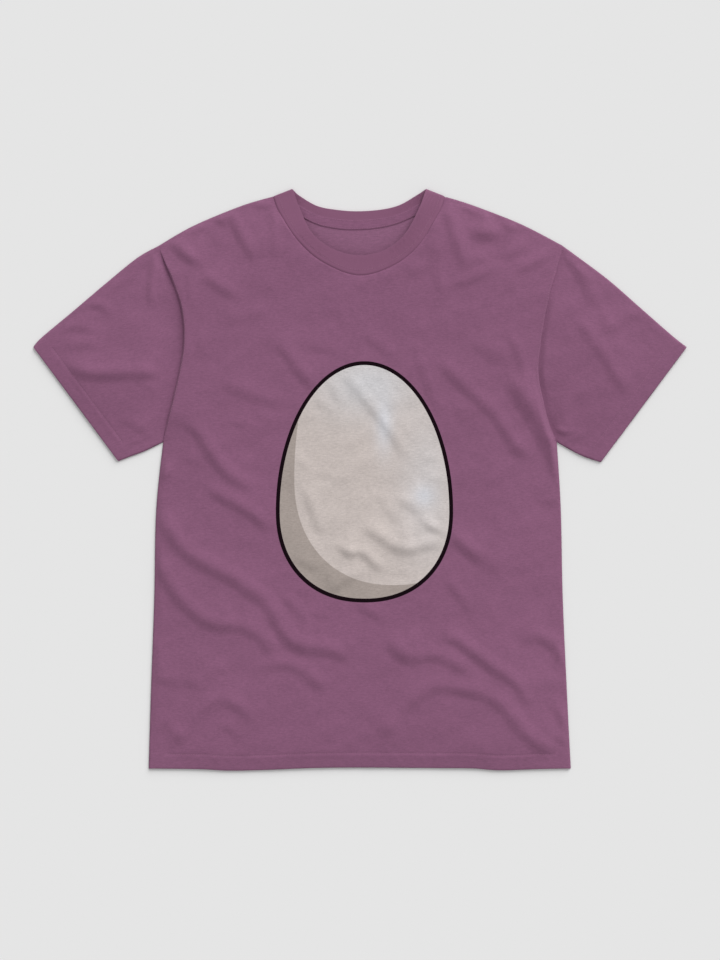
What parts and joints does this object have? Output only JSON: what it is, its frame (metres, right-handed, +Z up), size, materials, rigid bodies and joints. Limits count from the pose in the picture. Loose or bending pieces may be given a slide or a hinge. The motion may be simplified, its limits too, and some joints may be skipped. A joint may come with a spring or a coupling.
{
  "type": "t-shirt",
  "caption": "Short-sleeved crew-neck T-shirt in cotton jersey, lying flat and face up, with a ribbed collar, turned-up hems and a plain egg printed on the front.",
  "frame": {"origin": "middle of the shirt's bounding rectangle, at the height of the surface that it lies on", "axes": "+X to the right seen from above, from sleeve to sleeve; +Y from the hem to the neck; +Z up, out of the printed front"},
  "size_m": [0.8182, 0.7246, 0.0092],
  "materials": {
    "jersey": "garment-dyed mauve cotton jersey, matte",
    "rib": "garment-dyed mauve rib knit, matte",
    "tape": "self-fabric tape, matte",
    "thread": "dyed cotton sewing thread",
    "ink_dark": "printed ink, near black, matte",
    "ink_pale": "printed ink, warm off-white, matte",
    "ink_shade": "printed ink, warm grey, matte"
  },
  "bodies": {
    "root": {"back_panel": "jersey", "front_panel": "jersey", "sleeve_left": "jersey", "sleeve_right": "jersey", "collar_rib": "rib", "neck_tape": "tape", "egg_print_outline": "ink_dark", "egg_print_fill": "ink_pale", "egg_print_shade": "ink_shade"}
  },
  "joints": []
}
